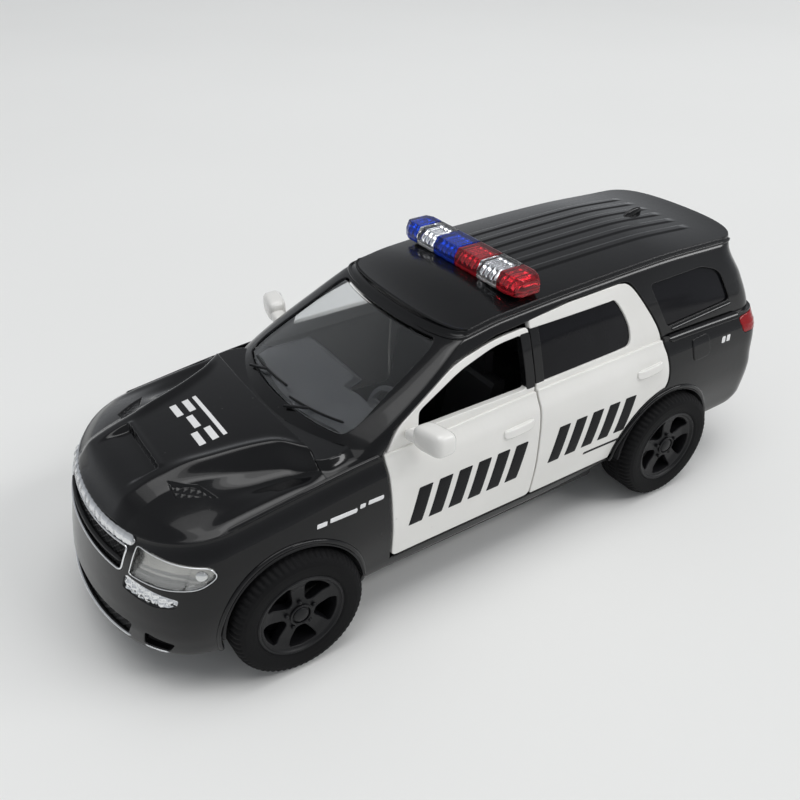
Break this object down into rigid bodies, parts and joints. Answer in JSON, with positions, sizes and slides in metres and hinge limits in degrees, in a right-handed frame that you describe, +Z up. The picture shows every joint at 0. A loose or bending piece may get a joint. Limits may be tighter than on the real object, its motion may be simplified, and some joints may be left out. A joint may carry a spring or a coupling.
{
  "type": "scale model sport utility vehicle",
  "caption": "Die-cast toy patrol utility vehicle with opening front doors, free-rolling wheels, a roof light bar and a pull-back spring motor under the cabin.",
  "frame": {"origin": "ground plane under the middle of the bounding box", "axes": "+X to the vehicle's left, +Y to its rear, +Z up"},
  "size_m": [0.0562, 0.1254, 0.0483],
  "materials": {
    "body_paint": "gloss black enamel",
    "door_paint": "gloss warm white enamel",
    "white_plastic": "gloss",
    "clear_glazing": "clear",
    "dark_glazing": "smoked gloss",
    "chrome_trim": "bright",
    "lamp_lens": "clear",
    "red_lens": "clear tinted",
    "blue_lens": "clear tinted",
    "clear_lens": "clear",
    "black_plastic": "satin",
    "rim": "satin black",
    "tyre": "matt rubber",
    "steel": "drawn",
    "nylon": "natural"
  },
  "bodies": {
    "model_body": {"body_shell": "body_paint", "hinge_pin_left": "steel", "hinge_pin_right": "steel", "windscreen": "clear_glazing", "rear_door_window_left": "dark_glazing", "rear_door_window_right": "dark_glazing", "quarter_window_left": "dark_glazing", "quarter_window_right": "dark_glazing", "tail_window": "dark_glazing", "grille": "black_plastic", "grille_trim": "chrome_trim", "intake_grille": "black_plastic", "headlight_left": "lamp_lens", "headlight_right": "lamp_lens", "fog_lamp_left": "chrome_trim", "fog_lamp_right": "chrome_trim", "tail_light_left": "red_lens", "tail_light_right": "red_lens", "light_bar_base": "clear_lens", "lens_red_inner": "red_lens", "lens_clear_left": "clear_lens", "lens_red_end": "red_lens", "lens_blue_inner": "blue_lens", "lens_clear_right": "clear_lens", "lens_blue_end": "blue_lens", "roof_aerial": "black_plastic", "chassis_base": "black_plastic", "base_screw_front": "steel", "base_screw_rear": "steel", "interior_tray": "black_plastic", "front_seat_left": "black_plastic", "front_seat_right": "black_plastic", "rear_bench": "black_plastic", "dashboard": "black_plastic", "steering_wheel": "black_plastic", "motor_case": "nylon", "motor_cover": "nylon", "mainspring": "steel"},
    "left_door": {"door_left": "door_paint", "mirror_left": "white_plastic"},
    "right_door": {"door_right": "door_paint", "mirror_right": "white_plastic"},
    "front_wheels": {"front_axle": "steel", "front_rim_left": "rim", "front_rim_right": "rim", "front_tyre_left": "tyre", "front_tyre_right": "tyre"},
    "rear_wheels": {"rear_axle": "steel", "rear_rim_left": "rim", "rear_rim_right": "rim", "rear_tyre_left": "tyre", "rear_tyre_right": "tyre", "axle_pinion": "nylon"},
    "idler": {"idler_gear": "nylon"},
    "barrel": {"barrel_gear": "nylon"}
  },
  "joints": [
    {"name": "left_door_hinge", "type": "hinge", "parent": "model_body", "child": "left_door", "pos_m": [0.0195, -0.0181, 0.018], "axis": [0, 0, -1], "range_deg": [0, 60]},
    {"name": "right_door_hinge", "type": "hinge", "parent": "model_body", "child": "right_door", "pos_m": [-0.0195, -0.0181, 0.018], "axis": [0, 0, 1], "range_deg": [0, 60]},
    {"name": "front_axle_spin", "type": "hinge", "parent": "model_body", "child": "front_wheels", "pos_m": [0, -0.0388, 0.0104], "axis": [1, 0, 0], "continuous": true},
    {"name": "rear_axle_spin", "type": "hinge", "parent": "model_body", "child": "rear_wheels", "pos_m": [0, 0.0362, 0.0104], "axis": [1, 0, 0], "continuous": true},
    {"name": "idler_spin", "type": "hinge", "parent": "model_body", "child": "idler", "pos_m": [0, 0.03138, 0.0141], "axis": [1, 0, 0], "continuous": true},
    {"name": "barrel_spin", "type": "hinge", "parent": "model_body", "child": "barrel", "pos_m": [0, 0.02455, 0.015], "axis": [1, 0, 0], "continuous": true}
  ],
  "couplings": [
    {"joint": "idler_spin", "follows": "rear_axle_spin", "ratio": -0.5},
    {"joint": "barrel_spin", "follows": "rear_axle_spin", "ratio": 0.20833}
  ]
}
